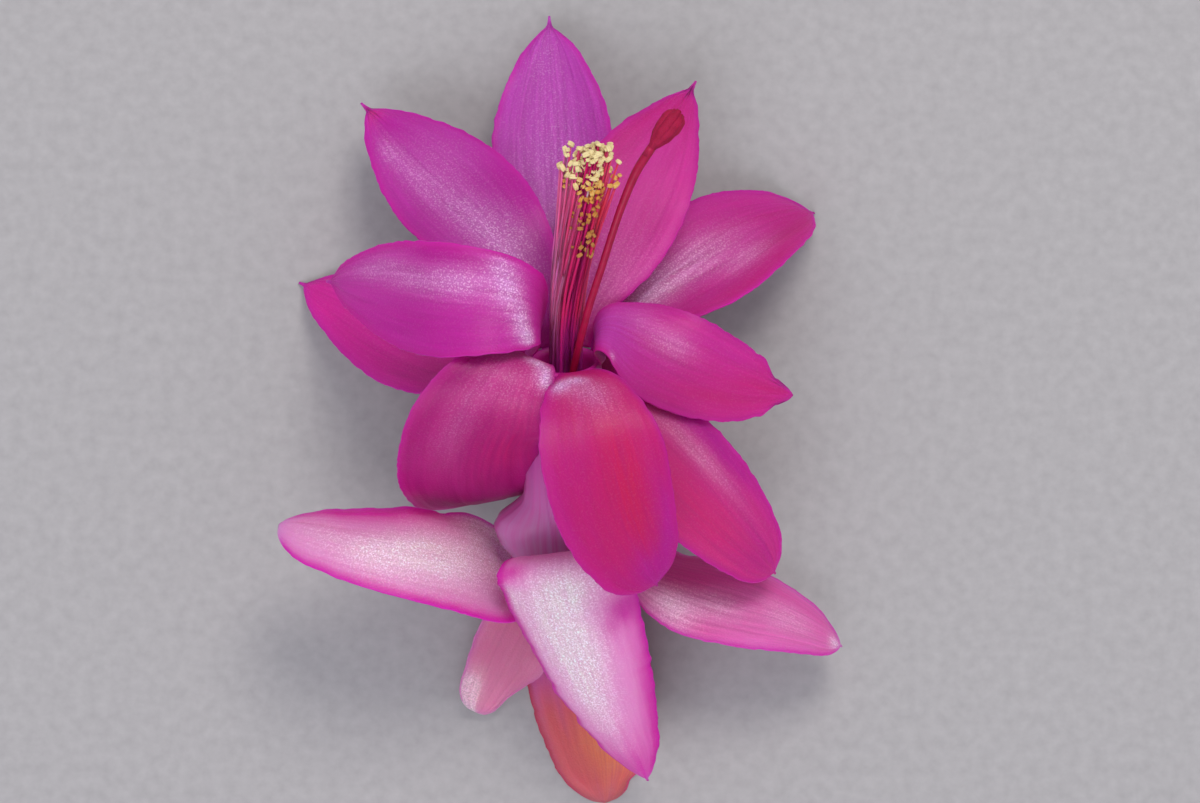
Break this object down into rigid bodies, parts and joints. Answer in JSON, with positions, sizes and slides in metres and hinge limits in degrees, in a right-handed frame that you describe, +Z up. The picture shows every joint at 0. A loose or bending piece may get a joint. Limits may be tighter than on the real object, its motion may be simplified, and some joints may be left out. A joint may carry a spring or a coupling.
{
  "type": "christmas cactus flower",
  "caption": "Magenta Christmas cactus flower, picked and lying on its side: reflexed pointed tepals in two whorls on a tube, with a stamen bundle and a crimson style.",
  "frame": {"origin": "centre of the bounding box's base, on the surface the flower lies on", "axes": "+Z up from the surface, +Y from the stem end of the flower to its mouth, along the longest side of its bounding box"},
  "size_m": [0.0489, 0.0695, 0.0279],
  "materials": {
    "inner_tepal": "satin, thin and translucent, with a fine silvery sheen on its bends",
    "outer_tepal": "satin, pale pink with magenta margins, thin and translucent",
    "base_tepal": "satin, magenta at the root to orange red at the tip, translucent",
    "tube_skin": "satin, greyed pink with lengthwise veins",
    "ovary_skin": "smooth, green flushed with pink",
    "stamen": "glossy pink filaments, matt cream to ochre anthers",
    "style_skin": "satin dark crimson, velvety at the stigma"
  },
  "bodies": {
    "root": {"ovary": "ovary_skin", "floral_tube": "tube_skin", "stamens": "stamen", "style": "style_skin", "tepal_inner_top": "inner_tepal", "tepal_inner_top_left": "inner_tepal", "tepal_inner_top_right": "inner_tepal", "tepal_inner_right": "inner_tepal", "tepal_inner_right_front": "inner_tepal", "tepal_inner_lower_right": "inner_tepal", "tepal_inner_front": "inner_tepal", "tepal_inner_front_left": "inner_tepal", "tepal_inner_left": "inner_tepal", "tepal_inner_left_back": "inner_tepal", "tepal_outer_left": "outer_tepal", "tepal_outer_front": "outer_tepal", "tepal_outer_right": "outer_tepal", "tepal_outer_base_left": "outer_tepal", "tepal_outer_base": "base_tepal"}
  },
  "joints": []
}
